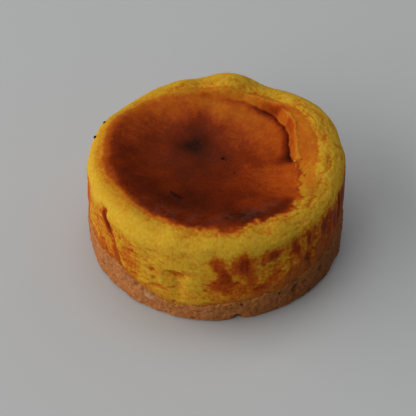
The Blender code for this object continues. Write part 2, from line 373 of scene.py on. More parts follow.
skin = {
    "level": 0.34,
    "ragged": 0.3 * mm,  # how ragged the skin's edge is, and how much more so at the front right
    "raggedFront": 0.8 * mm,
    "warp": 0.12,  # of their own size, how far the burns' outlines wander
    "rays": 0.022,  # faint streaks that run out from the middle
    # how far out the skin reaches: angle, distance. Along the tear it stops at the tear's foot.
    "edge": measured((
        (0, 23.7), (60, 26.6), (72, 26.9), (90, 28.3), (107, 28.9), (120, 31.4), (135, 33.0),
        (150, 34.0), (165, 34.1), (180, 33.3), (195, 33.0), (205, 31.2), (220, 30.6), (240, 30.6),
        (250, 31.4), (262, 31.5), (269, 31.6), (275, 33.5), (279, 33.4), (285, 31.0), (292, 29.9),
        (300, 30.3), (308, 31.2), (316, 30.7), (323, 29.8), (328, 28.0), (334, 25.8), (344, 25.2),
        (352, 24.0),
    ), 1, mm),
    # half the width of the fringe in which it fades out: angle, width
    "fringe": measured((
        (0, 0.5), (60, 1.2), (85, 1.7), (110, 2.1), (150, 2.6), (180, 3.8), (205, 3.0), (225, 2.5),
        (250, 2.4), (268, 2.1), (285, 0.8), (320, 0.9), (335, 0.6),
    ), 1, mm),
    # darker and lighter places, one of them a band of painted shade: x, y, half width, half length, turned
    # by, amount
    "burns": measured((
        (-6.0, -5.0, 15.5, 17.0, 0, 0.37),
        (2.0, -6.0, 10.0, 4.0, 0, -0.06),
        (-5.2, 16.3, 3.6, 3.6, 0, 0.13),
        (-5.6, 10.3, 4.8, 5.6, 0, 0.21),
        (-7.0, 8.5, 2.0, 2.0, 0, 0.26),
        (3.0, 24.0, 16.0, 7.0, 0, -0.17),
        (14.0, 10.0, 5.0, 6.0, 0, -0.03),
        (-27.0, -4.0, 3.5, 9.0, 5, 0.19),
        (13.5, -16.5, 3.4, 2.6, 0, 0.05),
        (-20.0, -13.0, 4.5, 3.0, -45, 0.13),
        # painted shade: the darker band in the hollow just inside the raised ring at the front
        (-11.0, -16.5, 5.0, 2.6, -10, 0.15),
        (-3.0, -12.5, 6.0, 4.0, 0, 0.07),
        (4.0, -21.0, 12.0, 6.0, 0, 0.11),
        (10.0, -24.5, 4.0, 2.5, 10, 0.28),
        (18.5, -20.5, 3.4, 2.0, 40, 0.30),
        (-5.0, -28.5, 3.0, 1.4, 0, 0.22),
        (-15.0, -24.5, 6.0, 2.0, -32, 0.14),
        (22.0, -8.0, 5.0, 9.0, 10, -0.05),
        (15.0, 20.8, 2.4, 1.2, -32, 0.20),
        (0.5, 27.1, 4.5, 0.6, 2, 0.14),
        (19.8, 1.0, 2.6, 1.7, 10, 0.18),
        (6.5, -24.0, 5.0, 1.8, 8, 0.10),
    ), mm, mm, mm, mm, 1, 1),
    # a scorched branch of the tear, beyond its lip
    "scorch": (18.0 * mm, 20.2 * mm, 3.0 * mm, 0.55 * mm, -33, 0.50),
    # beyond the skin on the right and the back lies a torn flap of lighter orange: angle, level
    "flap": (
        (0, 0.27), (20, 0.28), (45, 0.27), (65, 0.25), (85, 0.28), (105, 0.26), (118, 0.20), (130, 0.0),
        (295, 0.0), (306, 0.08), (320, 0.17), (335, 0.24), (350, 0.27),
    ),
    "flapEdge": measured((
        (0, 29.8), (32, 29.7), (50, 29.4), (65, 29.4), (80, 28.4), (100, 30.2), (115, 31.0),
        (305, 31.4), (325, 31.2), (333, 32.0), (341, 31.0), (347, 28.4), (354, 29.8),
    ), 1, mm),
    # where the skin is painted with a greyish sheen: an oval that spares its core, and a ring at the front
    "sheenPatch": (-7.2 * mm, 9.0 * mm, 11.0 * mm, 9.0 * mm, 0),
    "core": (-7.0 * mm, 8.7 * mm, 3.4 * mm, 3.4 * mm, 0),
    "coreSpared": 0.7,
    "sheenAmount": 0.36,
    "sheenRingPath": measured((
        (215, 27.4), (231, 26.4), (250, 25.8), (270, 25.4), (292, 24.4), (320, 24.0),
    ), 1, mm),
    "sheenRingReach": 2.0 * mm,
    "brokenEdge": 0.20,  # the darker line of the skin's crumbling edge on the right
    "tearShade": 0.30,
    "cliff": 0.34,
    "lipPaler": 0.05,
    "rimTone": 0.07,
    # the swell at 300 browns the front right rim where it lies in shade: painted shade
    "rimWarmth": ((158, 36, 0.15), (205, 14, 0.05), (262, 14, 0.10), (300, 18, 0.05)),
}

sideSkin = {
    "top": 25.6 * mm,  # the height at which the browning of the side ends
    "higherOnRight": 1.0 * mm,
    "wander": 0.9 * mm,
    "warpAcross": 0.5 * mm,
    "warpUp": 0.6 * mm,
    "streaks": 0.30,
    "moreOnRight": 0.20,
    "patchStreaks": 0.20,
}

# How brown the side is down the wall, and how much browner at its foot: angle, level
sideTone = (
    (10, 0.30), (60, 0.22), (100, 0.13), (140, 0.18), (185, 0.24), (197, 0.16), (215, 0.20), (228, 0.15),
    (236, 0.06), (262, 0.04), (268, 0.12), (285, 0.20), (291, 0.17), (301, 0.15), (306, 0.32), (314, 0.34),
    (317, 0.20), (320, 0.18), (323, 0.36), (327, 0.43), (345, 0.46),
)
footTone = (
    (0, 0.12), (90, 0.08), (150, 0.18), (185, 0.18), (210, 0.22), (228, 0.12), (238, 0.03), (262, 0.03),
    (270, 0.04), (290, 0.10), (306, 0.17), (330, 0.14),
)

# Browned patches on the side, with painted shade in its biggest pits and its fold: angle, height, half width,
# half height, lean, level
sidePatches = measured((
    (189.5, 18.0, 2.0, 6.0, 0.0, 0.36),
    (207.0, 12.0, 1.6, 2.6, 0.0, 0.33),
    (229.0, 16.5, 2.8, 5.0, 0.0, 0.31),
    (217.2, 19.4, 1.7, 4.4, 0.35, 0.44),
    (220.4, 12.8, 1.6, 3.6, 0.25, 0.45),
    # the fold's dark lens: browned skin, darkened further as painted shade on the fold's shaded wall
    (211.6, 23.0, 1.6, 3.2, 0.5, 0.62),
    (211.5, 11.6, 0.6, 2.0, 0.0, 0.46),
    # painted shade: these three darken the insides of the pits at the front
    (251.8, 17.4, 2.6, 1.5, 0.0, 0.15),
    (241.0, 16.5, 1.2, 0.7, 0.0, 0.10),
    (255.0, 12.5, 2.0, 1.4, 0.0, 0.10),
    (270.8, 23.0, 1.9, 3.4, 0.2, 0.47),
    (273.2, 18.4, 2.0, 4.8, 0.25, 0.49),
    (272.5, 14.2, 4.0, 2.4, 0.0, 0.40),
    (281.8, 22.4, 2.7, 4.6, 0.1, 0.49),
    (285.4, 16.6, 1.6, 4.4, 0.1, 0.44),
    (280.0, 13.8, 3.0, 1.8, 0.0, 0.29),
    (295.2, 23.6, 3.0, 2.3, 0.0, 0.49),
    (296.0, 14.0, 1.8, 2.4, 0.0, 0.35),
    (290.5, 11.2, 2.4, 1.2, 0.0, 0.44),
    (304.2, 14.0, 2.2, 1.7, 0.0, 0.44),
    (305.0, 21.2, 1.0, 1.2, 0.0, 0.33),
    (307.5, 21.8, 1.0, 3.0, 0.15, 0.47),
    (314.6, 23.0, 0.8, 3.0, 0.25, 0.48),
    (314.4, 14.6, 1.5, 3.8, 0.2, 0.62),
    (320.0, 16.0, 0.9, 1.6, 0.0, 0.38),
    (325.0, 22.4, 1.1, 3.4, 0.2, 0.54),
    (335.5, 18.6, 1.4, 4.0, 0.0, 0.50),
    (341.0, 15.2, 1.3, 3.4, 0.0, 0.50),
    (334.5, 10.6, 2.0, 1.4, 0.0, 0.47),
    (346.0, 21.4, 1.3, 3.4, 0.0, 0.50),
    (6.0, 19.0, 2.2, 4.0, 0.0, 0.48),
    (31.0, 16.0, 2.0, 3.0, 0.0, 0.44),
    (75.0, 20.0, 1.8, 2.6, 0.0, 0.42),
    (112.0, 17.0, 2.4, 2.0, 0.0, 0.40),
    (138.0, 21.0, 1.4, 3.0, 0.0, 0.42),
    (166.0, 18.0, 1.6, 3.4, 0.0, 0.42),
), 1, mm, mm, mm, 1, 1)


def ovalDistance(points, x, y, width, length, turned):  # 1 on the edge of a turned oval
    c, s = math.cos(math.radians(turned)), math.sin(math.radians(turned))
    across, along = points[..., 0] - x, points[..., 1] - y
    return np.hypot((c * across + s * along) / width, (c * along - s * across) / length)


def topBrown(place):
    # the skin's level plus its burns fades out over the fringe; the flap and the rim have their own
    # tones, and the tear is dark at its foot, paler on its cliff and palest on its lip. Besides the
    # browning it gives the distance inside the skin's edge, the two places of painted sheen, the flap and its
    # crease
    level, angle, distance = place["level"], place["angle"], place["distance"]
    fromTear = distance - place["tearRadius"]
    torn = ramp(tearDrop(angle), 0.4 * mm, 1.2 * mm)
    foot = place["tearRadius"] - 0.55 * tear["width"]
    edge = (1.0 - torn) * outline(angle, skin["edge"]) + torn * foot
    ragged = skin["ragged"] + skin["raggedFront"] * toward(angle, 290.0, 0.3, 0.9)
    inside = edge - distance + (1.0 - 0.8 * torn) * ragged * cloud(level, 2.2 * mm, 31, 3)
    warp = 1.0 + skin["warp"] * cloud(level, 4.0 * mm, 21)
    tone = skin["level"] + 0.03 * cloud(level, 3.0 * mm, 25, 3)
    for *oval, amount in skin["burns"]:
        tone = tone + amount * bell(ovalDistance(level, *oval) * warp)
    outward = np.stack([np.radians(angle) * 26.0 * mm, 0.1 * distance, np.zeros_like(angle)], axis=-1)
    tone = tone + skin["rays"] * cloud(outward, 0.9 * mm, 27, 2) * ramp(distance, 8.0 * mm, 22.0 * mm)
    tone = tone + skin["tearShade"] * torn * bell(fromTear + tear["width"], 0.8 * tear["width"])
    fringe = outline(angle, skin["fringe"])
    whole = tone * share(inside + 0.35 * mm * cloud(level, 0.9 * mm, 29), -fringe, fringe)

    reach = outline(angle, skin["flapEdge"]) - distance + 0.4 * mm * cloud(level, 2.0 * mm, 33)
    flap = outline(angle, skin["flap"]) * (1.0 + 0.07 * cloud(level, 2.5 * mm, 35, 3))
    flap = flap * ramp(reach, -0.9 * mm, 0.7 * mm) * (0.85 + 0.15 * ramp(reach, 1.0 * mm, 4.0 * mm))
    warmth = skin["rimTone"] * (1.0 + cloud(level, 2.4 * mm, 37)) + swells(angle, skin["rimWarmth"])
    warmth = warmth * (1.0 - ramp(distance, 31.0 * mm, 37.0 * mm))
    brown = np.maximum(np.maximum(whole, flap), warmth)
    broken = skin["brokenEdge"] * toward(angle, 342.0, 0.90, 0.97)
    brown = brown + broken * (bell(inside, 0.35 * mm) - 0.25 * bell(inside + 1.3 * mm, 0.7 * mm))

    cliff = 1.0 - ramp(np.abs(fromTear) / tear["width"], 0.32, 0.55)
    cliff = cliff * ramp(tearDrop(angle), 1.0 * mm, 2.0 * mm)
    brown = brown + cliff * (skin["cliff"] * (1.0 + 0.25 * cloud(level, 2.0 * mm, 39)) - brown)
    brown = brown - skin["lipPaler"] * torn * bell(fromTear / tear["width"] - 0.70, 0.18)
    *oval, scorched = skin["scorch"]
    brown = brown + bell(ovalDistance(level, *oval) * warp) * (scorched - brown)
    # painted sheen: a greyish reflection laid over the burnt skin, in an oval that spares the core and in a
    # ring at the front
    sheenPatch = bell(ovalDistance(level, *skin["sheenPatch"]))
    sheenPatch = skin["sheenAmount"] * (sheenPatch - skin["coreSpared"] * bell(ovalDistance(level, *skin["core"])))
    sheenRing = bell(distance - outline(angle, skin["sheenRingPath"]), skin["sheenRingReach"])
    sheenRing = sheenRing * ramp(cloud(level, 1.5 * mm, 23), -0.5, 0.3) * toward(angle, 266.0, 0.58, 0.82)
    crease = torn * bell(reach, 0.4 * mm)
    return np.maximum(brown, 0.0), inside, sheenPatch, sheenRing, ramp(flap, 0.10, 0.22), crease


def sideBrown(place):
    # tones that change round the side and toward its foot, with patches of a warped oval laid over
    angle, height = place["angle"], place["height"]
    points = onAxes(cake["radius"], angle, height)
    warpAcross = sideSkin["warpAcross"] * cloud(points, 2.2 * mm, 41)
    warpUp = sideSkin["warpUp"] * cloud(points, 2.2 * mm, 43)
    onRight = toward(angle, 350.0, 0.4, 0.9)
    streaks = cloud(points, (1.2 * mm, 1.2 * mm, 8.0 * mm), 53)
    wander = sideSkin["wander"] * cloud(points, (4.0 * mm, 4.0 * mm, 40.0 * mm), 47)
    top = sideSkin["top"] + sideSkin["higherOnRight"] * onRight + wander
    brown = outline(angle, sideTone) * (1.0 - ramp(height, top - 1.6 * mm, top + 1.6 * mm))
    brown = brown * (1.0 + (sideSkin["streaks"] + sideSkin["moreOnRight"] * onRight) * streaks)
    brown = brown + outline(angle, footTone) * (1.0 - ramp(height + warpUp, 9.5 * mm, 14.0 * mm))
    for centre, middle, width, tall, lean, level in sidePatches:
        up = height + warpUp - middle
        across = np.radians(turnFrom(angle, centre)) * cake["radius"] + warpAcross + lean * up
        cover = 1.0 - ramp(np.hypot(across / width, up / tall), 0.35, 1.60)
        patch = level * (1.0 + sideSkin["patchStreaks"] * streaks)
        brown = brown + cover * np.maximum(patch - brown, 0.0)
    return np.maximum(brown, 0.0)


cheeseCrumb = {
    "pebble": (1.5 * mm, 1.5 * mm, 1.0 * mm),  # how large along x, y and z
    "wave": (2.6 * mm, 2.6 * mm, 1.2 * mm),
    # of the pebbles and of the waves: height on top, and how much more on the side
    "heights": ((0.12 * mm, 0.04 * mm), (0.08 * mm, 0.02 * mm)),
    "sideTear": (3.0 * mm, 3.0 * mm, 1.0 * mm),
    "sideTearDepth": 0.28 * mm,
    "wrinkle": (7.0 * mm, 1.9 * mm, 1.0),
    "wrinkleDepth": 0.20 * mm,
    "brokenCrumb": 1.2 * mm,
    "brokenHeight": 0.42 * mm,
    "dimpleHeight": 0.05 * mm,  # on the dish's skin
    "ringHeight": 0.22 * mm,
    "skinEdge": 0.16 * mm,
    "flapCrease": 0.14 * mm,
    "calmerOnLeft": 0.4,
}


def crumbRelief(rings, place, upright, skinned, inside):
    # soft pebbles and waves, level tears low on the side, and wrinkles that follow the rim on the
    # right, where the skin has also broken into coarse crumbs along its edge
    angle, radius, height = place["angle"], place["radius"], place["height"]
    pebbleHeight, waveHeight = (onTop + more * upright for onTop, more in cheeseCrumb["heights"])
    relief = pebbleHeight * (0.55 - grains(rings, cheeseCrumb["pebble"], 61))
    relief = relief + waveHeight * cloud(rings, cheeseCrumb["wave"], 67, 3)
    tears = ramp(cloud(rings, cheeseCrumb["sideTear"], 71), 0.40, 0.90)
    low = upright * (1.0 - ramp(height, 20.0 * mm, 25.0 * mm))
    relief = relief - cheeseCrumb["sideTearDepth"] * tears * low * (1.0 - skinned)
    along = np.radians(angle) * 33.0 * mm
    inward = radius - height + 1.2 * mm * cloud(rings, 5.0 * mm, 77)
    sheet = np.stack([along, inward, np.zeros_like(along)], axis=-1)
    wrinkles = 1.0 - np.abs(cloud(sheet, cheeseCrumb["wrinkle"], 79, 2))
    where = toward(angle, 350.0, 0.45, 0.9) * (1.0 - upright)
    where = where * ramp(radius, 29.5 * mm, 31.5 * mm)
    relief = relief - cheeseCrumb["wrinkleDepth"] * where * ramp(wrinkles, 0.65, 1.0)
    broken = toward(angle, 336.0, 0.88, 0.96) * bell(inside + 1.0 * mm, 1.2 * mm)
    coarse = 0.6 - grains(rings, cheeseCrumb["brokenCrumb"], 63)
    return relief + cheeseCrumb["brokenHeight"] * broken * coarse


def buildCheese():
    # the rings pushed along their normals by the crumb's relief, or in the dish by the skin's own,
    # with the numbers that the material reads
    rings, place = cheeseRings()
    normals = facings(rings)
    upright = ramp(place["over"], 0.55, 1.0)
    onTop = ramp(-place["over"], -0.75, -0.35)
    brownTop, inside, sheenPatch, sheenRing, flap, flapCrease = topBrown(place)
    brownSide = sideBrown(place)
    sheenRing = sheenRing * onTop
    calm = cheeseCrumb["calmerOnLeft"] * toward(place["angle"], 190.0, 0.4, 0.9) * (1.0 - upright)
    crumb = (1.0 - ramp(inside, -0.9 * mm, 0.9 * mm) * onTop) * (1.0 - 0.8 * flap * onTop) * (1.0 - calm)
    skinned = ramp(brownSide, 0.22, 0.42) * upright

    relief = crumb * (1.0 - 0.3 * skinned) * crumbRelief(rings, place, upright, skinned, inside)
    # the dish's skin: soft dimples, bumps under the painted sheen ring, and a thin edge that stands up where
    # it stops
    relief = relief + (1.0 - crumb) * cheeseCrumb["dimpleHeight"] * cloud(rings, 2.2 * mm, 73)
    relief = relief + sheenRing * cheeseCrumb["ringHeight"] * cloud(rings, 1.5 * mm, 75)
    edge = cheeseCrumb["skinEdge"] * bell(inside - 0.5 * mm, 0.5 * mm)
    relief = relief + (edge - cheeseCrumb["flapCrease"] * flapCrease) * onTop
    relief = relief * (place["tucked"] == 0.0) * (1.0 - ramp(place["down"], 0.95, 1.0))
    rings = rings + relief[..., None] * normals

    above = place["height"] - joinHeight(place["angle"], place["radius"])
    fields = {
        "browning": brownTop * onTop + brownSide * (1.0 - onTop),
        "crumb": crumb * (1.0 - 0.7 * skinned),
        # painted shade and painted light of the relief: positive in dents and hollows, negative on raised
        # crumb
        "reliefShading": np.clip(place["dent"] / (2.8 * mm) - relief / (0.20 * mm), -1.1, 1.1),
        "paintedSheen": np.maximum(sheenPatch, sheenRing),
        "aboveJoin": above / mm,
    }
    return closedRings("bakedCheese", rings, fields), rings


bakedCheese, cheeseSurface = buildCheese()
print("baked cheese:", len(bakedCheese.data.polygons), "faces")


# Burnt bits: a curled sliver and a few flecks that lie on the skin, crumbs along the torn edge

bits = {
    # x, y along the sliver
    "sliverPath": measured((
        (-13.3, -12.2), (-12.6, -12.8), (-11.6, -13.5), (-10.6, -14.1), (-9.8, -14.5),
    ), mm, mm),
    "sliverHalfWidth": 0.42 * mm,
    "sliverFlatness": 0.45,
    "sliverRise": 0.40 * mm,
    # x, y, half size
    "flecks": measured((
        (1.9, 3.9, 0.55),
        (2.9, 3.3, 0.28),
        (-35.3, 8.9, 0.60),
        (-32.8, 14.8, 0.52),
        (5.4, -2.2, 0.22),
    ), mm, mm, mm),
    # angle, distance and spread of each heap of crumbs, and how many lie in it
    "heaps": measured((
        (357.0, 24.2, 0.6, 3),
        (351.0, 25.2, 0.7, 4),
        (343.0, 26.2, 0.6, 4),
        (336.0, 26.6, 0.6, 3),
    ), 1, mm, mm, 1),
    "fleckFlatness": 0.6,
    "crumbHalfSize": 0.55 * mm,
    "crumbFlatness": 0.45,
    "crumbSunk": 0.2,  # of its half size
    "crumbTones": (0.18, 0.32),
    "raggedness": 0.30,
}


def surfaceAt(x, y):  # the cheese's height at the nearest point of its skin
    top = cheeseSurface[: cheese["dishRows"] + cheese["shoulderRows"]].reshape(-1, 3)
    gaps = np.hypot(top[:, 0] - x[:, None], top[:, 1] - y[:, None])
    return top[gaps.argmin(axis=1), 2]


def roundBits(name, centres, sizes, flatness, seed, fields):
    # a ball for each bit: latitudes and longitudes, pushed in and out by noise and pressed flat
    rows, around = 7, 10
    up = np.pi * np.linspace(0.12, 0.88, rows)[:, None]
    ball = onAxes(np.sin(up), np.arange(around) * 360.0 / around, np.cos(up))
    ball = np.concatenate([[[0.0, 0.0, 1.0]], ball.reshape(-1, 3), [[0.0, 0.0, -1.0]]])
    squares, fans = skinFaces(rows, around)
    apart = 9.0 * np.arange(len(sizes))[:, None, None]  # so that no two bits are alike
    shape = 1.0 + bits["raggedness"] * cloud(1.3 * ball + apart, 1.0, seed)[..., None]
    whole = ball * shape * sizes[:, None, None] * np.array([1.0, 1.0, flatness]) + centres[:, None, :]
    shift = len(ball) * np.arange(len(sizes))[:, None, None]
    squares, fans = (squares + shift).reshape(-1, 4), (fans + shift).reshape(-1, 3)
    columns = {label: np.repeat(values, len(ball)) for label, values in fields.items()}
    return newPiece(name, whole.reshape(-1, 3), squares, fans, columns)


def buildFlecks():  # each one's middle lies on the skin
    x, y, size = np.array(bits["flecks"]).T
    centres = np.stack([x, y, surfaceAt(x, y)], axis=-1)
    return roundBits("burntFlecks", centres, size, bits["fleckFlatness"], 91, {})


def buildCrumbs():
    # each heap's crumbs are scattered by a bell round its middle and sunk into the cheese
    draw = np.random.default_rng(17)
    angle, distance, spread, count = np.array(bits["heaps"]).T
    which = np.repeat(np.arange(len(count)), count.astype(int))
    middle = onAxes(distance, angle, 0.0)[which, :2]
    place = middle + draw.normal(size=middle.shape) * spread[which, None]
    size = bits["crumbHalfSize"] * draw.uniform(0.6, 1.2, len(which))
    centres = np.column_stack([place, surfaceAt(*place.T) - bits["crumbSunk"] * size])
    tones = draw.uniform(*bits["crumbTones"], len(which))
    fields = {"browning": tones, "crumb": np.ones_like(tones), "aboveJoin": np.full_like(tones, 20.0)}
    return roundBits("tornCrumbs", centres, size, bits["crumbFlatness"], 93, fields)


def buildSliver():
    # a flat oval carried along its path, thinned to both ends, the left end curled up
    path = np.array(bits["sliverPath"])
    steps = np.linspace(0.0, 1.0, 25)
    marks = np.linspace(0.0, 1.0, len(path))
    x, y = (np.interp(steps, marks, path[:, axis]) for axis in range(2))
    thick = bits["sliverHalfWidth"] * np.sqrt(np.sin(np.pi * (0.03 + 0.94 * steps)))
    height = surfaceAt(x, y) + 0.12 * mm + bits["sliverRise"] * (1.0 - steps) ** 2
    middle = np.stack([x, y, height], axis=-1)
    across = np.cross(np.gradient(middle, axis=0), [0.0, 0.0, 1.0])
    across /= np.linalg.norm(across, axis=1, keepdims=True)
    turned = np.radians(30.0 * np.arange(12))[None, :, None]
    upward = np.array([0.0, 0.0, bits["sliverFlatness"]])
    oval = np.cos(turned) * across[:, None] + np.sin(turned) * upward
    return closedRings("burntSliver", middle[:, None] + thick[:, None, None] * oval, {})


burntSliver, burntFlecks, tornCrumbs = buildSliver(), buildFlecks(), buildCrumbs()
print("burnt bits and crumbs:", len(burntFlecks.data.polygons) + len(tornCrumbs.data.polygons), "faces")


# The biscuit: pressed crumb, toasted darker to the right, with a chip out of its foot

biscuit = {
    "radius": 37.8 * mm,
    "rounding": 0.5 * mm,
    "roundingReach": 0.8 * mm,
    "lumps": 0.12 * mm,
    "joinRagged": 0.55 * mm,
    "rough": 0.16 * mm,
    "crumb": 1.6 * mm,
    # of the crumbs and of the pores: depth all round, and how much more on the right
    "depths": ((0.30 * mm, 0.20 * mm), (0.35 * mm, 0.30 * mm)),
    "around": 720,
    "topRows": 8,
    "sideRows": 42,
    # angle, height, half width, half height, depth
    "pits": measured((
        (232.5, 7.2, 1.0, 1.1, 0.8),
        (307.8, 5.8, 1.0, 0.8, 1.3),
        (313.0, 6.4, 0.8, 0.6, 0.8),
        (300.0, 5.2, 0.6, 0.5, 0.6),
        (319.0, 4.0, 0.7, 0.6, 0.8),
        (279.6, 0.6, 1.3, 1.2, 1.7),
        (40.0, 4.8, 1.1, 0.9, 0.8),
        (118.0, 1.0, 1.3, 1.1, 1.0),
        (195.0, 5.0, 1.0, 0.8, 0.7),
    ), 1, mm, mm, mm, mm),
    # pale spots of painted highlight, laid out as the pits are, with how pale they are
    "highlightSpots": measured((
        (239.0, 5.0, 1.3, 0.9, 0.6),
        (228.0, 8.0, 0.9, 0.6, 0.2),
        (266.0, 3.4, 0.9, 0.6, 0.2),
    ), 1, mm, mm, mm, 1),
}


def buildBiscuit():
    # the path runs out over the top, down the side with both edges rounded, and in under the foot
    top = np.linspace(0.5, 1.0, biscuit["topRows"])
    side = 1.0 + np.linspace(0.0, 1.0, biscuit["sideRows"] + 1)[1:]
    under = 2.0 + np.array([0.1, 0.5, 1.0])
    path = np.concatenate([top, side, under])[:, None]
    angle = np.arange(biscuit["around"])[None, :] * 360.0 / biscuit["around"]
    path, angle = np.broadcast_arrays(path, angle)
    out, down, tucked = (np.clip(path - start, 0.0, 1.0) for start in range(3))
    wide = biscuit["radius"]
    radius = wide * out - 0.5 * wide * tucked
    edge = joinHeight(angle, wide)
    edge = edge + biscuit["joinRagged"] * cloud(onAxes(wide, angle, 0.0), 1.8 * mm, 81, 3)
    height = np.where(down > 0.0, edge, joinHeight(angle, radius)) * (1.0 - down)
    for gap in (down * edge, (1.0 - down) * edge):  # from the upper edge and from the foot
        rounded = (1.0 - share(gap, 0.0, biscuit["roundingReach"])) ** 2
        radius = radius - biscuit["rounding"] * rounded * (out == 1.0)
    side = (out == 1.0) * (tucked == 0.0)
    dents = pitDepth(angle, height, biscuit["pits"])
    radius = radius - side * dents
    rings = onAxes(radius, angle, height)
    onRight = toward(angle, 330.0, 0.2, 0.9)
    crumbHeight, poreDepth = (low + more * onRight for low, more in biscuit["depths"])
    pores = ramp(cloud(rings, (1.5 * mm, 1.5 * mm, 1.0 * mm), 89, 3) + 0.18 * onRight, 0.65, 1.25)
    rough = lumps(rings, biscuit["lumps"]) + biscuit["rough"] * cloud(rings, 1.1 * mm, 83, 3)
    rough = rough + crumbHeight * (0.45 - grains(rings, biscuit["crumb"], 87)) - poreDepth * pores
    rings = rings + (rough * side * (height > 0.0))[..., None] * onAxes(1.0, angle, 0.0)
    fields = {
        # the pores and pits, which the material darkens as painted shade
        "pores": np.maximum(pores, share(dents, 0.3 * mm, 1.2 * mm)),
        "belowJoin": (edge - height) / mm,
        "pale": pitDepth(angle, height, biscuit["highlightSpots"]),
    }
    return closedRings("biscuitBase", rings, fields)


biscuitBase = buildBiscuit()
print("biscuit base:", len(biscuitBase.data.polygons), "faces")


# Materials

def nodeTree(name):  # a new material, its tree and its shader
    material = bpy.data.materials.new(name)
    material.use_nodes = True
    tree = material.node_tree
    return material, tree, tree.nodes["Principled BSDF"]


def wire(tree, node, inputs):  # links the inputs that are sockets and sets the others on the node
    for key, value in inputs.items():
        if isinstance(value, bpy.types.NodeSocket):
            tree.links.new(value, node.inputs[key])
        else:
            node.inputs[key].default_value = value


def addNode(tree, kind, inputs=None, settings=None):  # the settings come first: its inputs hang on them
    node = tree.nodes.new(kind)
    for key, value in (settings or {}).items():
        setattr(node, key, value)
    wire(tree, node, inputs or {})
    return node


def noise(tree, where, grain, detail=3.0, roughness=0.55):  # grain is one swell's size in metres
    inputs = {"Vector": where, "Scale": 1.0 / grain, "Detail": detail, "Roughness": roughness}
    return addNode(tree, "ShaderNodeTexNoise", inputs).outputs["Fac"]


def mathNode(tree, operation, first, second):  # one sum of two numbers
    return addNode(tree, "ShaderNodeMath", {0: first, 1: second}, {"operation": operation}).outputs[0]


def added(tree, *values):  # their sum
    total = values[0]
    for value in values[1:]:
        total = mathNode(tree, "ADD", total, value)
    return total


def times(tree, *values):  # their product
    total = values[0]
    for value in values[1:]:
        total = mathNode(tree, "MULTIPLY", total, value)
    return total


def field(tree, name):  # a number that the mesh carries at each of its points
    return addNode(tree, "ShaderNodeAttribute", {}, {"attribute_name": name}).outputs["Fac"]


def remap(tree, value, fromLow, fromHigh, toLow=0.0, toHigh=1.0):  # straight in between, level beyond
    inputs = {"Value": value, "From Min": fromLow, "From Max": fromHigh, "To Min": toLow, "To Max": toHigh}
    return addNode(tree, "ShaderNodeMapRange", inputs).outputs["Result"]


def between(tree, part, low, high):  # low where part is 0, high where it is 1
    return remap(tree, part, 0.0, 1.0, low, high)


def swing(tree, value, reach):  # noise's usual values, 0.3 to 0.7, laid out from -reach to reach
    return remap(tree, value, 0.3, 0.7, -reach, reach)


def colourRamp(tree, value, stops):  # straight between the stops: position, colour
    node = addNode(tree, "ShaderNodeValToRGB", {"Fac": value})
    marks = node.color_ramp.elements
    while len(marks) < len(stops):
        marks.new(0.5)
    for mark, (position, colour) in zip(marks, stops):
        mark.position = position
        mark.color = (*colour, 1.0)
    return node.outputs["Color"]


def mixColours(tree, part, first, second):  # first where part is 0, second where it is 1
    return addNode(tree, "ShaderNodeMix", {0: part, 6: first, 7: second}, {"data_type": "RGBA"}).outputs[2]


def bumped(tree, height, bump):  # normals tilted by the slope of the height
    return addNode(tree, "ShaderNodeBump", {"Height": height, **bump}).outputs["Normal"]


cheeseFinish = {
    "stops": (
        (0.00, (0.570, 0.325, 0.019)),
        (0.15, (0.520, 0.235, 0.013)),
        (0.30, (0.460, 0.110, 0.007)),
        (0.42, (0.360, 0.058, 0.005)),
        (0.55, (0.210, 0.025, 0.003)),
        (0.70, (0.125, 0.014, 0.0020)),
        (0.85, (0.070, 0.010, 0.0025)),
        (1.00, (0.028, 0.006, 0.003)),
    ),
    "palest": (0.62, 0.40, 0.050, 1.0),
    "stuckBiscuit": (0.36, 0.105, 0.020, 1.0),
    "darkBiscuit": (0.10, 0.024, 0.006, 1.0),
    # the colour and strength of the painted sheen on the burnt skin
    "sheenColour": (0.125, 0.042, 0.026, 1.0),
    "paintedSheen": 0.75,
    "grain": 0.95 * mm,
    "pore": 0.60 * mm,
    "reliefShading": 0.18,  # painted shade and light: how much browner the hollows of the crumb are, and how much paler its raised grains
    "raised": -0.26,
    "bump": {"Strength": 0.55, "Distance": 0.17 * mm},
    "shader": {
        "Subsurface Weight": 0.12,
        "Subsurface Radius": (1.0, 0.5, 0.12),
        "Subsurface Scale": 1.0 * mm,
        "Specular IOR Level": 0.022,
    },
}


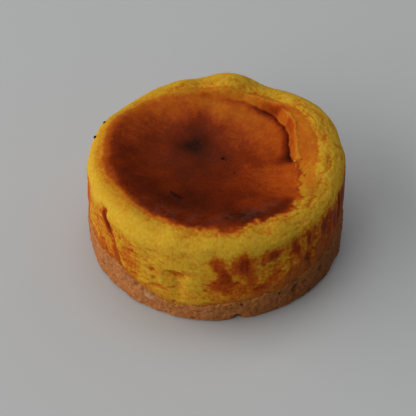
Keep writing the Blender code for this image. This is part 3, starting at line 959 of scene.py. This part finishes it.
def cheeseMaterial():
    # the colour of its browning with painted shade in the crumb's hollows, pale specks painted as highlights
    # on the palest cheese, a painted greyish sheen on the burnt skin and biscuit crumb stuck to its foot
    material, tree, surface = nodeTree("bakedCheese")
    where = addNode(tree, "ShaderNodeTexCoord").outputs["Object"]
    browning, crumb = field(tree, "browning"), field(tree, "crumb")
    broad = noise(tree, where, 5.0 * mm)
    fine = noise(tree, where, 1.1 * mm, 4.0, 0.6)
    inputs = {"Vector": where, "Scale": 1.0 / cheeseFinish["grain"], "Smoothness": 0.35}
    grain = addNode(tree, "ShaderNodeTexVoronoi", inputs, {"feature": "SMOOTH_F1"}).outputs["Distance"]
    pores = noise(tree, where, cheeseFinish["pore"], 4.0, 0.65)
    torn = times(tree, mathNode(tree, "SUBTRACT", pores, grain), crumb)
    # the level of browning is shifted by noise, and deeper in the hollows of the crumb as painted shade
    mottled = times(tree, swing(tree, fine, 0.06), between(tree, crumb, 0.6, 1.0))
    freckles = times(tree, swing(tree, pores, 0.08), remap(tree, crumb, 0.0, 0.5, 1.0, 0.0))
    freckles = times(tree, freckles, remap(tree, browning, 0.3, 0.6))
    shift = added(tree, swing(tree, broad, 0.03), mottled, freckles)
    # painted shade in the crumb's hollows and painted light on its raised grains, added to the level as sunk
    reliefShading = times(tree, field(tree, "reliefShading"), crumb, cheeseFinish["reliefShading"])
    sunk = added(tree, reliefShading, times(tree, torn, cheeseFinish["raised"]), 0.03)
    colour = colourRamp(tree, added(tree, browning, shift, sunk), cheeseFinish["stops"])
    # pale specks on the palest cheese: partly the crumb's light tone, partly painted highlights
    pale = times(tree, remap(tree, fine, 0.48, 0.70), remap(tree, browning, 0.12, 0.0), 0.8)
    colour = mixColours(tree, pale, colour, cheeseFinish["palest"])
    # painted sheen: a greyish reflection mixed over the burnt skin
    paintedSheen = times(tree, field(tree, "paintedSheen"), remap(tree, fine, 0.36, 0.60), cheeseFinish["paintedSheen"])
    colour = mixColours(tree, paintedSheen, colour, cheeseFinish["sheenColour"])
    # the stuck crumb climbs higher on the right
    side = addNode(tree, "ShaderNodeSeparateXYZ", {0: where}).outputs["X"]
    right = remap(tree, side, 0.004, 0.032)
    climb = times(tree, between(tree, right, 1.8, 6.5), noise(tree, where, 1.6 * mm, 4.0, 0.65), 3.4)
    stuck = added(tree, climb, -1.2, times(tree, right, -3.5), times(tree, field(tree, "aboveJoin"), -1.0))
    stuck = times(tree, remap(tree, stuck, 0.0, 2.2), between(tree, right, 0.75, 0.60))
    dark = times(tree, remap(tree, pores, 0.48, 0.64), 0.8)
    crumbs = mixColours(tree, dark, cheeseFinish["stuckBiscuit"], cheeseFinish["darkBiscuit"])
    smooth = times(tree, noise(tree, where, 0.8 * mm, 3.0, 0.6), 0.4)
    wire(tree, surface, {
        "Base Color": mixColours(tree, stuck, colour, crumbs),
        "Roughness": added(tree, between(tree, crumb, 0.42, 0.60), swing(tree, fine, 0.06)),
        "Normal": bumped(tree, added(tree, torn, smooth), cheeseFinish["bump"]),
        **cheeseFinish["shader"],
    })
    return material


biscuitFinish = {
    "stops": (
        (0.00, (0.060, 0.017, 0.006)),
        (0.25, (0.210, 0.066, 0.018)),
        (0.50, (0.370, 0.126, 0.033)),
        (0.75, (0.480, 0.188, 0.054)),
        (1.00, (0.600, 0.300, 0.090)),
    ),
    "toasted": (0.215, 0.058, 0.011, 1.0),
    "hole": (0.055, 0.016, 0.006, 1.0),
    "stuckCheese": (0.46, 0.17, 0.018, 1.0),
    "palest": (0.64, 0.42, 0.28, 1.0),
    "bump": {"Strength": 0.8, "Distance": 0.2 * mm},
    "shader": {
        "Roughness": 0.68,
        "Subsurface Weight": 0.05,
        "Subsurface Scale": 0.8 * mm,
        "Specular IOR Level": 0.12,
    },
}


def biscuitMaterial():
    # noise picks among the tones of the crumb, toasted and pitted to the right, with painted shade in
    # its pores and pits, cheese stuck below the join and a few pale spots of painted highlight
    material, tree, surface = nodeTree("pressedBiscuit")
    where = addNode(tree, "ShaderNodeTexCoord").outputs["Object"]
    broad = noise(tree, where, 5.0 * mm)
    fine = noise(tree, where, 0.9 * mm, 5.0, 0.68)
    level = added(tree, remap(tree, broad, 0.3, 0.7, 0.48, 0.64), swing(tree, fine, 0.28))
    side = addNode(tree, "ShaderNodeSeparateXYZ", {0: where}).outputs["X"]
    colour = colourRamp(tree, level, biscuitFinish["stops"])
    toasted = remap(tree, side, -0.005, 0.032, 0.0, 0.55)
    colour = mixColours(tree, toasted, colour, biscuitFinish["toasted"])
    specks = remap(tree, noise(tree, where, 0.9 * mm, 4.0, 0.7), 0.52, 0.62)
    specks = times(tree, specks, remap(tree, side, -0.010, 0.025, 0.0, 0.65))
    # dark specks of the crumb, and painted shade in the pores and pits
    holes = mathNode(tree, "MAXIMUM", specks, times(tree, field(tree, "pores"), 0.75))
    colour = mixColours(tree, holes, colour, biscuitFinish["hole"])
    stain = remap(tree, noise(tree, where, 1.4 * mm, 4.0, 0.65), 0.3, 0.75, -0.4, 1.6)
    stuck = remap(tree, mathNode(tree, "SUBTRACT", stain, field(tree, "belowJoin")), 0.0, 0.5, 0.0, 0.7)
    colour = mixColours(tree, stuck, colour, biscuitFinish["stuckCheese"])
    cells = addNode(tree, "ShaderNodeTexVoronoi", {"Vector": where, "Scale": 1.0 / (0.6 * mm)})
    grain = times(tree, cells.outputs["Distance"], -0.6)
    height = added(tree, noise(tree, where, 0.35 * mm, 4.0, 0.7), grain)
    wire(tree, surface, {
        # the pale spots are a painted highlight, a glossy shine on the biscuit
        "Base Color": mixColours(tree, field(tree, "pale"), colour, biscuitFinish["palest"]),
        "Normal": bumped(tree, height, biscuitFinish["bump"]),
        **biscuitFinish["shader"],
    })
    return material


burntFinish = {
    "colour": (0.032, 0.008, 0.005),
    "shader": {"Roughness": 0.50, "Specular IOR Level": 0.02},
}


def burntMaterial():  # one colour, mottled by noise
    material, tree, surface = nodeTree("burntSkin")
    where = addNode(tree, "ShaderNodeTexCoord").outputs["Object"]
    mottle = remap(tree, noise(tree, where, 0.7 * mm, 4.0, 0.6), 0.3, 0.7, 0.6, 1.35)
    inputs = {0: burntFinish["colour"], "Scale": mottle}
    tinted = addNode(tree, "ShaderNodeVectorMath", inputs, {"operation": "SCALE"}).outputs[0]
    wire(tree, surface, {"Base Color": tinted, **burntFinish["shader"]})
    return material


cheeseFace, burnt = cheeseMaterial(), burntMaterial()
bakedCheese.data.materials.append(cheeseFace)
tornCrumbs.data.materials.append(cheeseFace)
burntSliver.data.materials.append(burnt)
burntFlecks.data.materials.append(burnt)
for bit in (burntSliver, burntFlecks, tornCrumbs):
    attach(bit, "root")
biscuitBase.data.materials.append(biscuitMaterial())
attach(bakedCheese, "root")
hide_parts("cheese_layer")
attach(biscuitBase, "root")
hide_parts("biscuit_base")
print("materials on")


# Floor, light and camera

studio = {
    "floorHalf": 2.5,
    "floor": {"Base Color": (0.50, 0.50, 0.50, 1.0), "Roughness": 0.55, "Specular IOR Level": 0.2},
    "glow": {"Color": (0.94, 0.98, 1.0, 1.0), "Strength": 0.16},
}

# azimuth, how far off and how high its middle is, tilt down, width, height, power, colour
lamps = {
    "windowLeft": (195.0, 1.0, 0.62, 0.0, 2.3, 1.24, 20.5, (1.0, 0.985, 0.965)),
    "ceilingGlow": (110.0, 0.35, 1.20, 74.0, 0.95, 0.70, 4.5, (0.95, 0.98, 1.0)),
    "wallRight": (40.0, 0.70, 0.70, 45.0, 0.80, 0.50, 0.75, (0.97, 0.99, 1.0)),
}


def buildStudio():
    # a plain level square, an even glow from all round, and lamps that face the middle, tilted down
    floorMesh = bpy.data.meshes.new("floor")
    corners = np.array([(-1, -1, 0), (1, -1, 0), (1, 1, 0), (-1, 1, 0)]) * studio["floorHalf"]
    floorMesh.from_pydata(corners, [], [(0, 1, 2, 3)])
    floor = bpy.data.objects.new("floor", floorMesh)
    bpy.context.scene.collection.objects.link(floor)
    material, tree, surface = nodeTree("paleFloor")
    wire(tree, surface, studio["floor"])
    floorMesh.materials.append(material)

    world = bpy.data.worlds.new("studio")
    world.use_nodes = True
    wire(world.node_tree, world.node_tree.nodes["Background"], studio["glow"])
    bpy.context.scene.world = world

    for name, (azimuth, off, high, tilt, width, tall, power, colour) in lamps.items():
        light = bpy.data.lights.new(name, "AREA")
        light.shape = "RECTANGLE"
        light.size, light.size_y = width, tall
        light.energy = power
        light.color = colour
        lamp = bpy.data.objects.new(name, light)
        turned, down = math.radians(azimuth), math.radians(tilt)
        lamp.location = (off * math.cos(turned), off * math.sin(turned), high)
        lamp.rotation_euler = (math.pi / 2 - down, 0.0, turned + math.pi / 2)
        bpy.context.scene.collection.objects.link(lamp)


view = {
    "distance": 0.6,
    "elevation": 45.3,
    "looksAt": (-2.346 * mm, 8.055 * mm, 0.0),
    "sensor": 36.0,
    "lens": 171.1,
}


def buildCamera():  # back from what it looks at, along a line that rises to the front by the elevation
    lens = bpy.data.cameras.new("camera")
    lens.sensor_width = view["sensor"]
    lens.lens = view["lens"]
    lens.clip_start = 0.01
    camera = bpy.data.objects.new("camera", lens)
    down = math.radians(view["elevation"])
    back = Vector((0.0, -math.cos(down), math.sin(down))) * view["distance"]
    camera.location = Vector(view["looksAt"]) + back
    camera.rotation_euler = (math.pi / 2 - down, 0.0, 0.0)
    bpy.context.scene.collection.objects.link(camera)
    bpy.context.scene.camera = camera


buildStudio()
buildCamera()
bpy.context.scene.view_settings.view_transform = "Standard"
print("studio and camera set")
